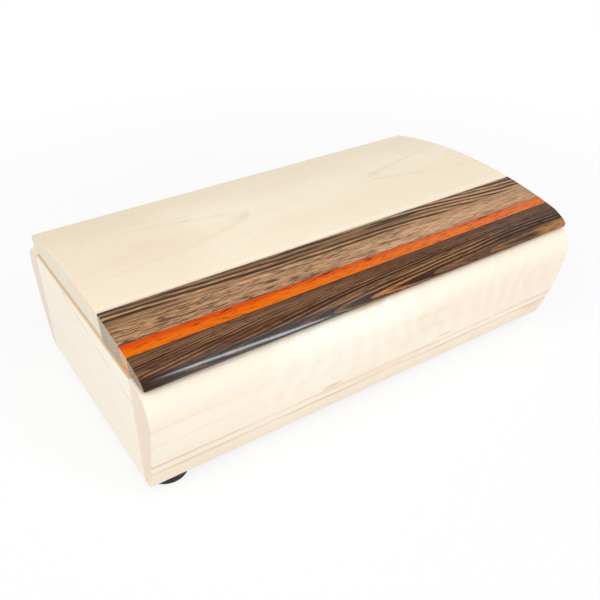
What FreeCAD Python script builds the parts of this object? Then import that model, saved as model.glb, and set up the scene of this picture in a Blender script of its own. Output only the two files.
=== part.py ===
import FreeCAD, Part
import math
import os
from FreeCAD import Vector

# Keepsake box with a lid of laminated woods on two brass stop hinges.
# Millimetres. +X runs along the box, the front faces -Y, +Z is up.
# The origin is on the ground, under the middle of the box.

# Carcase
body_length = 300.0
board_height = 72.4
board_thickness = 19.7
bulge_half_depth = 92.0
bulge_drop = 15.4
board_flare = 15.0
shoulder_radius = 17.5
shoulder_start_angle = 6.5
bottom_edge_radius = 2.6
top_end_radius = 1.0
arris_radius = 1.2

# End panels, with a stopped tongue let into each long board
end_panel_thickness = 19.0
end_panel_drop = 1.5
tongue_thickness = 6.0
tongue_length = 4.0
tongue_start_height = 16.0
glue_room = 0.2

# Bottom
bottom_panel_thickness = 6.0
rabbet_width = 10.0
liner_thickness = 1.5
liner_margin = 0.5

# Feet
foot_height = 5.0
foot_diameter = 25.0
foot_end_inset = 15.5
foot_side_inset = 13.0
right_foot_set_in = 5.0
back_feet_set_in = 5.0

# Lid
lid_end_inset = 1.0
lid_end_undercut = 0.8
lid_seat_gap = 0.05
lid_front_inset = 4.5
lid_back_inset = 9.0
crown_thickness = 17.7
crown_offset = 1.5
arch_fall = 8.5
bevel_width = 10.0
bevel_angle = 27.0
bevel_blend_radius = 24.0
nose_radius = 2.4
back_edge_radius = 1.6

# Strips of the lid, measured back from its front edge
maple_joint_inset = 53.5
padauk_centre_inset = 21.8
padauk_width_left = 9.0
padauk_width_right = 6.7

# Stop hinges
hinge_end_inset = 55.0
hinge_length = 30.0
leaf_width = 10.5
leaf_thickness = 1.5
leaf_gap = 0.1
barrel_radius = 2.4
pin_radius = 1.1
running_clearance = 0.05
knuckle_gap = 0.15
barrel_clearance = 0.25
barrel_setback = 0.1
lid_knuckle_length = 14.0
stop_thickness = 1.2
toe_angle = -30.0
opening_angle = 95.0
stop_allowance = 0.4
wood_clearance = 0.3
hinge_screw_shank = 2.2
hinge_screw_head = 4.4
hinge_screw_spacing = 19.0
hinge_screw_setback = 7.2
body_screw_length = 9.0
lid_screw_length = 7.0

# Places that follow from the sizes
half_length = body_length / 2
inner_half_depth = bulge_half_depth - board_thickness
base_half_depth = bulge_half_depth - board_flare
board_top = foot_height + board_height
panel_top = board_top - end_panel_drop
inner_half_length = half_length - end_panel_thickness
floor_top = foot_height + bottom_panel_thickness
lid_under = board_top + lid_seat_gap
crown_top = lid_under + crown_thickness
foot_x = half_length - foot_end_inset
foot_y = base_half_depth - foot_side_inset
lid_half_length = half_length - lid_end_inset
lid_front = -bulge_half_depth + lid_front_inset
lid_back = bulge_half_depth - lid_back_inset
arch_reach = crown_offset - lid_front - bevel_width
top_radius = (arch_reach ** 2 + arch_fall ** 2) / (2 * arch_fall)
maple_joint = lid_front + maple_joint_inset
padauk_centre = lid_front + padauk_centre_inset
hinge_places = (-half_length + hinge_end_inset, half_length - hinge_end_inset)
pivot_y = lid_back + barrel_radius + barrel_setback
pivot_z = (board_top + lid_under) / 2
bore_radius = pin_radius + running_clearance
cradle_radius = barrel_radius + barrel_clearance
stop_radius = cradle_radius + stop_thickness
notch_reach = stop_radius + wood_clearance
past = 20.0


def box(x, y, z):
    """A box from three (low, high) pairs."""
    solid = Part.makeBox(x[1] - x[0], y[1] - y[0], z[1] - z[0])
    solid.translate(Vector(x[0], y[0], z[0]))
    return solid


def cylinder(radius, start, direction, length):
    return Part.makeCylinder(radius, length, start, direction)


def arc(start, middle, end):
    return Part.Arc(start, middle, end).toShape()


def line(start, end):
    return Part.LineSegment(start, end).toShape()


def extrude(edges, direction):
    face = Part.Face(Part.Wire(edges))
    return face.extrude(direction)


def mirror_y(shape):
    return shape.mirror(Vector(0, 0, 0), Vector(0, 1, 0))


def mirror_x(shape):
    return shape.mirror(Vector(0, 0, 0), Vector(1, 0, 0))


def edges_where(shape, test):
    """The edges whose every sampled point passes the test."""
    found = []
    for edge in shape.Edges:
        points = edge.discretize(5)
        if all(test(p) for p in points):
            found.append(edge)
    return found


def near(a, b):
    return abs(a - b) < 1e-4


def end_outline(top, top_radius_at_end):
    """The box seen from the front: square ends with eased corners, run through in Y."""
    low = foot_height
    r = bottom_edge_radius
    t = top_radius_at_end
    h = half_length
    c = math.sqrt(0.5)
    y = -bulge_half_depth - past
    at = lambda x, z: Vector(x, y, z)
    edges = [
        line(at(-h + r, low), at(h - r, low)),
        arc(at(h - r, low), at(h - r + r * c, low + r - r * c), at(h, low + r)),
        line(at(h, low + r), at(h, top - t)),
        arc(at(h, top - t), at(h - t + t * c, top - t + t * c), at(h - t, top)),
        line(at(h - t, top), at(-h + t, top)),
        arc(at(-h + t, top), at(-h + t - t * c, top - t + t * c), at(-h, top - t)),
        line(at(-h, top - t), at(-h, low + r)),
        arc(at(-h, low + r), at(-h + r - r * c, low + r - r * c), at(-h + r, low)),
    ]
    return extrude(edges, Vector(0, 2 * (bulge_half_depth + past), 0))


def board_bar():
    """Bar of the back board's section: flat inside, and outside one long curve that leans
    out to a bulge, then a tighter shoulder that turns in under the lid."""
    angle = math.radians(shoulder_start_angle)
    shoulder = (bulge_half_depth - shoulder_radius, board_top - bulge_drop)
    top_angle = math.asin(bulge_drop / shoulder_radius)

    def on_shoulder(a):
        return Vector(-half_length, shoulder[0] + shoulder_radius * math.cos(a),
                      shoulder[1] + shoulder_radius * math.sin(a))

    # The long curve leaves the shoulder in line with it and ends at the base.
    start = on_shoulder(-angle)
    base = Vector(-half_length, base_half_depth, foot_height)
    inward = Vector(0, -math.cos(angle), math.sin(angle))
    chord = base - start
    radius = chord.dot(chord) / (2 * chord.dot(inward))
    centre = start + inward * radius
    middle = (start + base) * 0.5 - centre
    middle = centre + middle * (radius / middle.Length)

    inner_low = Vector(-half_length, inner_half_depth, foot_height)
    inner_high = Vector(-half_length, inner_half_depth, board_top)
    edges = [
        line(inner_low, base),
        arc(base, middle, start),
        arc(start, on_shoulder((top_angle - angle) / 2), on_shoulder(top_angle)),
        line(on_shoulder(top_angle), inner_high),
        line(inner_high, inner_low),
    ]
    return extrude(edges, Vector(body_length, 0, 0))


def long_board():
    """Back board before the hinges are let in: its lower edge is rounded all along, and
    its curved side is eased at both ends."""
    bar = board_bar()
    low_edge = edges_where(bar, lambda p: near(p.y, base_half_depth) and near(p.z, foot_height))
    rounded = bar.makeFillet(bottom_edge_radius, low_edge)
    eased = bar
    for side in (-1, 1):
        end_edges = edges_where(eased, lambda p: near(p.x, side * half_length))
        arris = [e for e in end_edges if e.BoundBox.YLength > 1 and e.BoundBox.ZLength > 1]
        eased = eased.makeFillet(arris_radius, arris)
    board = rounded.common(eased).common(end_outline(board_top, top_end_radius))
    return board.cut(tongue_grooves())


def tongue_grooves():
    """The stopped grooves that the tongues of both end panels fill, open at the top."""
    middle = half_length - end_panel_thickness / 2
    groove = box((middle - tongue_thickness / 2, middle + tongue_thickness / 2),
                 (inner_half_depth, inner_half_depth + tongue_length + glue_room),
                 (foot_height + tongue_start_height, board_top + past))
    return groove.fuse(mirror_x(groove))


def end_panel():
    """Right end panel: rabbeted below for the bottom, with a tongue at each side."""
    panel = box((inner_half_length, half_length), (-inner_half_depth, inner_half_depth),
                (foot_height, panel_top))
    panel = panel.common(end_outline(panel_top, arris_radius))
    middle = half_length - end_panel_thickness / 2
    reach = inner_half_depth + tongue_length
    tongue = box((middle - tongue_thickness / 2, middle + tongue_thickness / 2),
                 (-reach, reach), (foot_height + tongue_start_height, panel_top))
    panel = panel.fuse(tongue).removeSplitter()
    rabbet = box((inner_half_length - past, inner_half_length + rabbet_width),
                 (-inner_half_depth, inner_half_depth), (foot_height, floor_top))
    return panel.cut(rabbet)


def bottom_panel():
    reach = inner_half_length + rabbet_width
    return box((-reach, reach), (-inner_half_depth, inner_half_depth), (foot_height, floor_top))


def bottom_liner():
    x = inner_half_length - liner_margin
    y = inner_half_depth - liner_margin
    return box((-x, x), (-y, y), (floor_top, floor_top + liner_thickness))


def foot(x, y):
    """Rubber foot: a flat disc stuck to the underside."""
    return cylinder(foot_diameter / 2, Vector(x, y, 0), Vector(0, 0, 1), foot_height)


def countersunk_screw(x, face, up, length):
    """Flat-head screw with its head flush in a leaf face at height face, driven along up."""
    start = Vector(x, pivot_y - hinge_screw_setback, face)
    along = Vector(0, 0, up)
    drop = (hinge_screw_head - hinge_screw_shank) / 2
    head = Part.makeCone(hinge_screw_head / 2, hinge_screw_shank / 2, drop, start, along)
    shank = cylinder(hinge_screw_shank / 2, start + along * drop, along, length - drop)
    return head.fuse(shank).removeSplitter()


def hinge_screws(up):
    """The four screws of the body leaves (up = -1) or of the lid leaves (up = 1)."""
    face = pivot_z + up * leaf_gap / 2
    length = lid_screw_length if up > 0 else body_screw_length
    screws = []
    for hinge_x in hinge_places:
        for offset in (-hinge_screw_spacing / 2, hinge_screw_spacing / 2):
            screws.append(countersunk_screw(hinge_x + offset, face, up, length))
    return screws


def barrel(radius, x):
    """A cylinder about the hinge pin over an (x low, x high) span."""
    return cylinder(radius, Vector(x[0], pivot_y, pivot_z), Vector(1, 0, 0), x[1] - x[0])


def leaf_plate(x, up, reach):
    """Flat of a leaf, from its front edge to a distance reach in front of the pin."""
    low = pivot_z + up * leaf_gap / 2
    high = low + up * leaf_thickness
    return box(x, (pivot_y - leaf_width, pivot_y - reach), (min(low, high), max(low, high)))


def stop_shell(x, inner, angle, up):
    """Part of a ring about the pin: on the leaf's own side of the parting plane,
    from the leaf round to a flat stop face at the given angle."""
    ring = barrel(stop_radius, x)
    if inner > 0:
        ring = ring.cut(barrel(inner, x))
    face = math.radians(angle)
    far = 3 * stop_radius
    corner = Vector(x[0], pivot_y, pivot_z + up * leaf_gap / 2)
    side = Vector(x[0], pivot_y - far, corner.z)
    tip = Vector(x[0], pivot_y + far * math.cos(face), pivot_z + far * math.sin(face))
    centre = Vector(x[0], pivot_y, pivot_z)
    beyond = Vector(x[0], tip.y, pivot_z + up * far)
    back = Vector(x[0], side.y, pivot_z + up * far)
    points = [side, corner, centre, tip, beyond, back, side]
    wedge = Part.Face(Part.makePolygon(points)).extrude(Vector(x[1] - x[0], 0, 0))
    return ring.common(wedge)


def hinge_spans(hinge_x):
    """The x spans of the left, middle and right knuckles."""
    low = hinge_x - hinge_length / 2
    high = hinge_x + hinge_length / 2
    half = lid_knuckle_length / 2
    return [(low, hinge_x - half - knuckle_gap),
            (hinge_x - half, hinge_x + half),
            (hinge_x + half + knuckle_gap, high)]


def body_leaf(hinge_x):
    """Two outer knuckles on a let-in leaf. Between them a cradle passes under the
    lid's knuckle and ends in the toe that stops the lid."""
    left, middle, right = hinge_spans(hinge_x)
    leaf = leaf_plate((left[0], right[1]), -1, cradle_radius)
    for span in (left, right):
        leaf = leaf.fuse(leaf_plate(span, -1, 0)).fuse(barrel(barrel_radius, span))
    leaf = leaf.fuse(stop_shell(middle, cradle_radius, toe_angle, -1))
    leaf = leaf.removeSplitter().cut(barrel(pin_radius, (left[0], right[1])))
    return leaf.cut(Part.makeCompound(hinge_screws(-1)))


def lid_leaf(hinge_x):
    """One middle knuckle with the heel that meets the toe when the lid is open."""
    left, middle, right = hinge_spans(hinge_x)
    heel_angle = toe_angle + opening_angle + stop_allowance
    leaf = leaf_plate((left[0], right[1]), 1, cradle_radius)
    leaf = leaf.fuse(leaf_plate(middle, 1, 0)).fuse(barrel(barrel_radius, middle))
    leaf = leaf.fuse(stop_shell(middle, 0, heel_angle, 1))
    leaf = leaf.removeSplitter().cut(barrel(bore_radius, middle))
    return leaf.cut(Part.makeCompound(hinge_screws(1)))


def hinge_pin(hinge_x):
    return barrel(pin_radius, (hinge_x - hinge_length / 2, hinge_x + hinge_length / 2))


def hinge_mortise(hinge_x, up):
    """What a hinge takes out of the wood: the leaf's bed and a notch for the barrel."""
    span = (hinge_x - hinge_length / 2, hinge_x + hinge_length / 2)
    bed = leaf_plate(span, up, 0)
    parting = box(span, (pivot_y - leaf_width, pivot_y),
                  (pivot_z - leaf_gap / 2, pivot_z + leaf_gap / 2))
    reach = sorted((pivot_z, pivot_z + up * notch_reach))
    notch = box(span, (pivot_y - notch_reach, pivot_y + past), (reach[0], reach[1]))
    top = box(span, (pivot_y - notch_reach, pivot_y + past), (pivot_z - leaf_gap, pivot_z + leaf_gap))
    return bed.fuse(parting).fuse(notch).fuse(top)


def lid_blank():
    """The whole lid before it is split into its strips: flat below, arched above, with a
    bevelled and rounded nose, a low square back edge and ends that lean in downwards."""
    def on_arch(y):
        drop = top_radius - math.sqrt(top_radius ** 2 - (y - crown_offset) ** 2)
        return Vector(-half_length, y, crown_top - drop)

    bevel_top = on_arch(lid_front + bevel_width)
    back_top = on_arch(lid_back)
    bevel_fall = bevel_width * math.tan(math.radians(bevel_angle))
    front_top = Vector(-half_length, lid_front, bevel_top.z - bevel_fall)
    front_low = Vector(-half_length, lid_front, lid_under)
    back_low = Vector(-half_length, lid_back, lid_under)
    edges = [
        line(front_low, back_low),
        line(back_low, back_top),
        arc(back_top, on_arch(crown_offset), bevel_top),
        line(bevel_top, front_top),
        line(front_top, front_low),
    ]
    blank = extrude(edges, Vector(body_length, 0, 0))
    crest = edges_where(blank, lambda p: near(p.y, bevel_top.y) and near(p.z, bevel_top.z))
    blank = blank.makeFillet(bevel_blend_radius, crest)
    nose = edges_where(blank, lambda p: near(p.y, lid_front)
                       and (near(p.z, front_top.z) or near(p.z, lid_under)))
    blank = blank.makeFillet(nose_radius, nose)
    tail = edges_where(blank, lambda p: near(p.y, lid_back) and near(p.z, back_top.z))
    blank = blank.makeFillet(back_edge_radius, tail)
    high = lid_half_length
    low = high - lid_end_undercut
    y = lid_front - past
    corners = [Vector(-low, y, lid_under), Vector(low, y, lid_under), Vector(high, y, crown_top),
               Vector(high, y, crown_top + past), Vector(-high, y, crown_top + past),
               Vector(-high, y, crown_top), Vector(-low, y, lid_under)]
    trim = Part.Face(Part.makePolygon(corners)).extrude(Vector(0, lid_back - lid_front + 2 * past, 0))
    return blank.common(trim)


def strip_prism(back_left, back_right, front_left, front_right):
    """An upright slab over the whole lid between two lines seen from above, each given by
    its y at the left and the right end of the lid."""
    x = half_length
    low = lid_under - past
    points = [Vector(-x, back_left, low), Vector(x, back_right, low),
              Vector(x, front_right, low), Vector(-x, front_left, low), Vector(-x, back_left, low)]
    height = crown_thickness + 2 * past
    return Part.Face(Part.makePolygon(points)).extrude(Vector(0, 0, height))


def lid_strips():
    """Maple panel, rear wenge, padauk and front wenge, split from one blank so that their
    top runs on across the glue lines."""
    blank = lid_blank()
    back = lid_back + past
    front = lid_front - past
    joint = maple_joint
    above_left = padauk_centre + padauk_width_left / 2
    above_right = padauk_centre + padauk_width_right / 2
    below_left = padauk_centre - padauk_width_left / 2
    below_right = padauk_centre - padauk_width_right / 2
    maple = blank.common(strip_prism(back, back, joint, joint))
    for hinge_x in hinge_places:
        maple = maple.cut(hinge_mortise(hinge_x, 1))
    maple = maple.cut(Part.makeCompound(hinge_screws(1)))
    return {
        "lid_maple_panel": maple,
        "lid_rear_wenge_strip": blank.common(
            strip_prism(joint, joint, above_left, above_right)),
        "lid_padauk_strip": blank.common(
            strip_prism(above_left, above_right, below_left, below_right)),
        "lid_front_wenge_strip": blank.common(
            strip_prism(below_left, below_right, front, front)),
    }


def carcase():
    """The two long boards, the end panels, the bottom and its liner."""
    plain_board = long_board()
    back = plain_board
    for hinge_x in hinge_places:
        back = back.cut(hinge_mortise(hinge_x, -1))
    back = back.cut(Part.makeCompound(hinge_screws(-1)))
    right = end_panel()
    return {
        "front_board": mirror_y(plain_board),
        "back_board": back,
        "left_end_panel": mirror_x(right),
        "right_end_panel": right,
        "bottom_panel": bottom_panel(),
        "bottom_liner": bottom_liner(),
    }


def foot_places():
    return {
        "foot_front_left": (-foot_x, -foot_y),
        "foot_front_right": (foot_x, -foot_y + right_foot_set_in),
        "foot_back_left": (-foot_x + back_feet_set_in, foot_y),
        "foot_back_right": (foot_x - back_feet_set_in, foot_y),
    }


def build():
    nodes = carcase()
    for name, (x, y) in foot_places().items():
        nodes[name] = foot(x, y)
    nodes.update(lid_strips())
    for side, hinge_x in zip(("left", "right"), hinge_places):
        nodes["hinge_%s_body_leaf" % side] = body_leaf(hinge_x)
        nodes["hinge_%s_lid_leaf" % side] = lid_leaf(hinge_x)
        nodes["hinge_%s_pin" % side] = hinge_pin(hinge_x)
    nodes["hinge_body_screws"] = Part.makeCompound(hinge_screws(-1))
    nodes["hinge_lid_screws"] = Part.makeCompound(hinge_screws(1))
    return nodes


os.makedirs("parts", exist_ok=True)
for name, shape in build().items():
    box_of = shape.BoundBox
    print("%-24s solids %d valid %s volume %9.1f  x %.2f..%.2f y %.2f..%.2f z %.2f..%.2f" % (
        name, len(shape.Solids), shape.isValid(), shape.Volume,
        box_of.XMin, box_of.XMax, box_of.YMin, box_of.YMax, box_of.ZMin, box_of.ZMax))
    shape.exportStep("parts/%s.step" % name)
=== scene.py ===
"""Looks of a keepsake box with a lid of laminated woods.

The solid pieces are the frame. The lid's four woods, the feet, the liner and the hinge screws
are shaped again here with their softened edges, and every piece gets its finish. Lengths are
in metres.
"""
import math

import bmesh
import bpy
import numpy as np
from mathutils import Matrix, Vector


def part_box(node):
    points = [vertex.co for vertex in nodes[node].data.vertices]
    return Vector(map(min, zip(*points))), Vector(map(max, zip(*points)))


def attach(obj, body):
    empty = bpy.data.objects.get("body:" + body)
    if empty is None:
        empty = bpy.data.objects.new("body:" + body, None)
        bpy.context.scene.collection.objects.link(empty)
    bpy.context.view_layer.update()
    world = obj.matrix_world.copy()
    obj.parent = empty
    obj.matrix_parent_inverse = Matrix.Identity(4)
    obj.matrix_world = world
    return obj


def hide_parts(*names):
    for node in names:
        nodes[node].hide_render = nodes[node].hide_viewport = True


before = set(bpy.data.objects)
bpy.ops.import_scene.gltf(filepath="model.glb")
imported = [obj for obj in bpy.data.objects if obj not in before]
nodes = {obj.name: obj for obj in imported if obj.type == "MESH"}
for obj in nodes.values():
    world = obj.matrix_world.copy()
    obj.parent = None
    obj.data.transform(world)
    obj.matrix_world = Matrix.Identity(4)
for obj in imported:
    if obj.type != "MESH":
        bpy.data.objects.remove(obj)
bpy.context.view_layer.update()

mm = 0.001


# Shapes


def new_piece(name, points, faces, material, body, replaced=()):
    """A smooth piece from an array of points and the corners of its faces."""
    mesh = bpy.data.meshes.new(name)
    mesh.from_pydata(points.tolist(), [], faces if isinstance(faces, list) else faces.tolist())
    mesh.validate()
    mesh.polygons.foreach_set("use_smooth", np.ones(len(mesh.polygons), dtype=bool))
    mesh.materials.append(material)
    piece = bpy.data.objects.new(name, mesh)
    bpy.context.scene.collection.objects.link(piece)
    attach(piece, body)
    if replaced:
        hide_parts(*replaced)
    return piece


def flat_faces_stay_flat(piece):
    """Shading follows the large faces, so that the small rounded edges don't bend it."""
    evener = piece.modifiers.new("even shading", "WEIGHTED_NORMAL")
    evener.weight = 80
    evener.keep_sharp = True


def ring_faces(rows, columns, first=0):
    """Faces between rows of points, each row a closed ring. Row 0 comes first, and the ring
    runs so that the faces look outwards when it turns from +Y over +Z as x grows."""
    row, column = np.meshgrid(np.arange(rows - 1), np.arange(columns), indexing="ij")
    after = (column + 1) % columns
    a = row * columns + column
    b = row * columns + after
    return first + np.stack([a, b, b + columns, a + columns], -1).reshape(-1, 4)


def capped_rings(rows, columns, first=0):
    """Faces of a turned piece: its rings and the two flat faces that close it."""
    faces = ring_faces(rows, columns, first).tolist()
    last = first + rows * columns
    return faces + [list(range(first, first + columns)), list(range(last - columns, last))[::-1]]


def eased(distance, reach, drop):
    """How far a rounded edge has fallen at a distance in from the edge: a quarter of an
    ellipse that is drop deep at the edge and ends reach inside it."""
    inside = np.clip(1 - distance / reach, 0, 1)
    return drop * (1 - np.sqrt(1 - inside**2))


def spread_from_edge(reach, width, close, wide):
    """Distances in from an edge, close together over the rounding and wide apart after it."""
    turn = np.linspace(0, math.pi / 2, close)
    rounding = reach * (1 - np.cos(turn))
    rest = reach + (width - reach) * np.linspace(0, 1, wide + 1)[1:] ** 1.3
    return np.concatenate([rounding, rest])


# The lid's shape

lid_low, lid_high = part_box("lid_maple_panel")
lid_under = lid_low.z
lid_crown = lid_high.z
lid_back = lid_high.y
lid_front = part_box("lid_front_wenge_strip")[0].y
lid_half = lid_high.x
maple_joint = lid_low.y
crown_offset = 1.5 * mm
arch_radius = 371.4 * mm
bevel_width = 10 * mm
bevel_slope = math.tan(math.radians(27))
bevel_blend = 0.9 * mm
end_lean = 0.8 * mm
end_ease = 0.9 * mm
back_ease = 1.6 * mm
corner_radius = 2.6 * mm
nose_reach = 3.1 * mm
nose_drop = 1.8 * mm
chin_reach = 2.4 * mm
chin_drop = 2.3 * mm
under_ease = 0.5 * mm
padauk_centre = -65.7 * mm
padauk_left = 9.0 * mm
padauk_right = 6.7 * mm
back_rows_span = 117 * mm
front_rows_span = 18.5 * mm


def lid_height(y):
    """Height of the lid's top: a circle's arc that runs into the flat bevel of the front,
    joined by a curve where the two come within bevel_blend of each other."""
    arch_centre = lid_crown - arch_radius
    arc = arch_centre + np.sqrt(arch_radius**2 - (y - crown_offset) ** 2)
    crest = lid_front + bevel_width
    crest_height = arch_centre + math.sqrt(arch_radius**2 - (crest - crown_offset) ** 2)
    bevel = crest_height + (y - crest) * bevel_slope
    near = np.clip(1 - np.abs(arc - bevel) / bevel_blend, 0, 1)
    return np.minimum(arc, bevel) - near**2 * bevel_blend / 4


def lid_piece(name, back_line, front_line, material):
    """One wood of the lid. Stations run along the box, close together at the ends. At each
    one the ring goes forwards along the top and back along the bottom. Top and bottom draw
    together by eased() of the distance to the end, the back edge and the front edge, and the
    ends lean in towards the bottom. back_line and front_line give the y of the piece's two
    sides at a share, 0 to 1, of the way from left to right."""
    end_in = spread_from_edge(corner_radius, lid_half, close=14, wide=14)
    end_in[-1] = lid_half
    from_left = np.concatenate([end_in, (2 * lid_half - end_in)[-2::-1]])
    to_end = np.minimum(from_left, 2 * lid_half - from_left)
    share = from_left / (2 * lid_half)
    y_back = back_line(share)
    y_front = front_line(share)
    is_back = back_line(0.5) > lid_back - mm
    is_front = front_line(0.5) < lid_front + mm
    if is_back:
        y_back = y_back - eased(to_end, corner_radius, corner_radius)
    if is_front:
        y_front = y_front + eased(to_end, corner_radius / 2, corner_radius / 2)
    width = (y_back - y_front)[:, None]
    across = np.linspace(0, 1, 20)
    if is_back:
        from_back = spread_from_edge(back_ease, back_rows_span, close=10, wide=30)
        across = from_back / back_rows_span
    if is_front:
        from_front = spread_from_edge(chin_reach, front_rows_span, close=18, wide=16)
        across = 1 - from_front[::-1] / front_rows_span
    y = y_back[:, None] - width * across[None, :]
    top = lid_height(y)
    bottom = np.full_like(top, lid_under)
    if is_back:
        top = top - eased(y_back[:, None] - y, back_ease, back_ease)
        bottom = bottom + eased(y_back[:, None] - y, under_ease, under_ease)
    if is_front:
        top = top - eased(y - y_front[:, None], nose_reach, nose_drop)
        bottom = bottom + eased(y - y_front[:, None], chin_reach, chin_drop)
    top = top - eased(to_end, end_ease, end_ease)[:, None]
    bottom = bottom + eased(to_end, under_ease, under_ease)[:, None]
    top = np.maximum(top, bottom)
    ring_y = np.concatenate([y, y[:, ::-1]], axis=1)
    ring_z = np.concatenate([top, bottom[:, ::-1]], axis=1)
    lean = 1 - end_lean / lid_half * (lid_crown - ring_z) / (lid_crown - lid_under)
    ring_x = (from_left - lid_half)[:, None] * lean
    points = np.stack([ring_x, ring_y, ring_z], -1).reshape(-1, 3)
    rows, columns = ring_y.shape
    faces = ring_faces(rows, columns)
    half = columns // 2
    k = np.arange(half - 1)
    cap = np.stack([k, columns - 1 - k, columns - 2 - k, k + 1], -1)
    far_cap = cap[:, ::-1] + (rows - 1) * columns
    faces = np.concatenate([faces, cap, far_cap])
    piece = new_piece(name, points, faces, material, "lid", [name_of_node(name)])
    outward(piece)
    return piece


def name_of_node(piece_name):
    """The node that a piece stands for has its name without the last word."""
    return piece_name.rsplit("_", 1)[0]


def outward(piece):
    """Merges what lies together and turns every face outwards."""
    same_place = 0.004 * mm
    work = bmesh.new()
    work.from_mesh(piece.data)
    bmesh.ops.remove_doubles(work, verts=work.verts, dist=same_place)
    bmesh.ops.recalc_face_normals(work, faces=work.faces)
    work.to_mesh(piece.data)
    work.free()


def straight(y_left, y_right):
    """A side that runs straight from one y at the left end to another at the right."""
    return lambda share: y_left + (y_right - y_left) * share


def cut_away(piece, boxes):
    """Lets square beds into a piece. Each box is three (low, high) pairs."""
    corners = np.array([[i, j, k] for i in (0, 1) for j in (0, 1) for k in (0, 1)])
    sides = [[0, 1, 3, 2], [4, 6, 7, 5], [0, 4, 5, 1], [2, 3, 7, 6], [0, 2, 6, 4], [1, 5, 7, 3]]
    for n, sizes in enumerate(boxes):
        spans = np.array(sizes, float)
        points = spans[:, 0] + corners * (spans[:, 1] - spans[:, 0])
        mesh = bpy.data.meshes.new(f"bed_{n}")
        mesh.from_pydata(points.tolist(), [], sides)
        cutter = bpy.data.objects.new(f"bed_{n}", mesh)
        bpy.context.scene.collection.objects.link(cutter)
        cut = piece.modifiers.new("bed", "BOOLEAN")
        cut.operation = "DIFFERENCE"
        cut.solver = "EXACT"
        cut.object = cutter
        bpy.context.view_layer.update()
        graph = bpy.context.evaluated_depsgraph_get()
        shaped = bpy.data.meshes.new_from_object(piece.evaluated_get(graph))
        piece.modifiers.remove(cut)
        piece.data = shaped
        bpy.data.objects.remove(cutter)


# Materials


def paint(red, green, blue):
    """A colour written as on a screen, 0 to 255, as the shader wants it."""
    share = [value / 255 for value in (red, green, blue)]
    linear = [v / 12.92 if v <= 0.04045 else ((v + 0.055) / 1.055) ** 2.4 for v in share]
    return (*linear, 1.0)


class Recipe:
    """Builds the nodes of a material or of a shared effect. Each call adds one node and
    gives back its output, and any number may be an output of an earlier node."""

    def __init__(self, tree):
        self.tree = tree

    def node(self, kind, **settings):
        """A new node of a kind, with its settings."""
        made = self.tree.nodes.new(kind)
        for name, value in settings.items():
            setattr(made, name, value)
        return made

    def feed(self, socket, value):
        """Links an output to the socket, or sets the socket to a plain value."""
        if isinstance(value, bpy.types.NodeSocket):
            self.tree.links.new(value, socket)
        elif value is not None:
            socket.default_value = value

    def maths(self, operation, *values):
        made = self.node("ShaderNodeMath", operation=operation)
        for socket, value in zip(made.inputs, values):
            self.feed(socket, value)
        return made.outputs[0]

    def add(self, a, b):
        return self.maths("ADD", a, b)

    def subtract(self, a, b):
        return self.maths("SUBTRACT", a, b)

    def times(self, a, b):
        return self.maths("MULTIPLY", a, b)

    def divide(self, a, b):
        return self.maths("DIVIDE", a, b)

    def shift(self, vector, amount):
        """The vector with the same amount added to each of its parts."""
        made = self.node("ShaderNodeVectorMath", operation="ADD")
        self.feed(made.inputs[0], vector)
        self.feed(made.inputs[1], amount)
        return made.outputs[0]

    def stretch(self, vector, x, y, z, shift=(0, 0, 0)):
        """The vector times a number along each axis, and shifted. Noise read at it changes
        about that many times in a metre, so a small number draws its pattern out."""
        made = self.node("ShaderNodeMapping")
        self.feed(made.inputs["Vector"], vector)
        made.inputs["Scale"].default_value = (x, y, z)
        made.inputs["Location"].default_value = shift
        return made.outputs[0]

    def parts(self, vector):
        """The x, y and z of a vector."""
        made = self.node("ShaderNodeSeparateXYZ")
        self.feed(made.inputs[0], vector)
        return made.outputs

    def noise(self, vector, detail=2.0, roughness=0.5, twist=0.0):
        """Soft noise between 0 and 1 that changes about once in each unit of the vector."""
        made = self.node("ShaderNodeTexNoise")
        self.feed(made.inputs["Vector"], vector)
        made.inputs["Scale"].default_value = 1.0
        made.inputs["Detail"].default_value = detail
        made.inputs["Roughness"].default_value = roughness
        made.inputs["Distortion"].default_value = twist
        return made.outputs["Fac"]

    def span(self, value, low, high, to_low=0.0, to_high=1.0, smooth=True):
        """to_low where the value is low, to_high where it is high, and between them a step
        that is smooth or straight."""
        kind = "SMOOTHSTEP" if smooth else "LINEAR"
        made = self.node("ShaderNodeMapRange", interpolation_type=kind)
        for name, v in (("Value", value), ("From Min", low), ("From Max", high),
                        ("To Min", to_low), ("To Max", to_high)):
            self.feed(made.inputs[name], v)
        return made.outputs["Result"]

    def mix(self, amount, under, over, blend="MIX"):
        """One colour with another laid over it by an amount, 0 to 1."""
        made = self.node("ShaderNodeMix", data_type="RGBA", blend_type=blend)
        self.feed(made.inputs[0], amount)
        self.feed(made.inputs[6], under)
        self.feed(made.inputs[7], over)
        return made.outputs[2]

    def shared(self, group, **values):
        """A shared effect with its own values; Pith_Y here is the socket Pith Y."""
        made = self.node("ShaderNodeGroup", node_tree=group)
        for name, value in values.items():
            self.feed(made.inputs[name.replace("_", " ")], value)
        return made.outputs

    def place(self):
        """Where the surface is, in the coordinates of its own piece."""
        return self.node("ShaderNodeTexCoord").outputs["Object"]

    def bump(self, height, distance, strength):
        """A normal tilted as if the surface rose and fell with height."""
        made = self.node("ShaderNodeBump")
        self.feed(made.inputs["Height"], height)
        made.inputs["Distance"].default_value = distance
        made.inputs["Strength"].default_value = strength
        return made.outputs[0]


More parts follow.
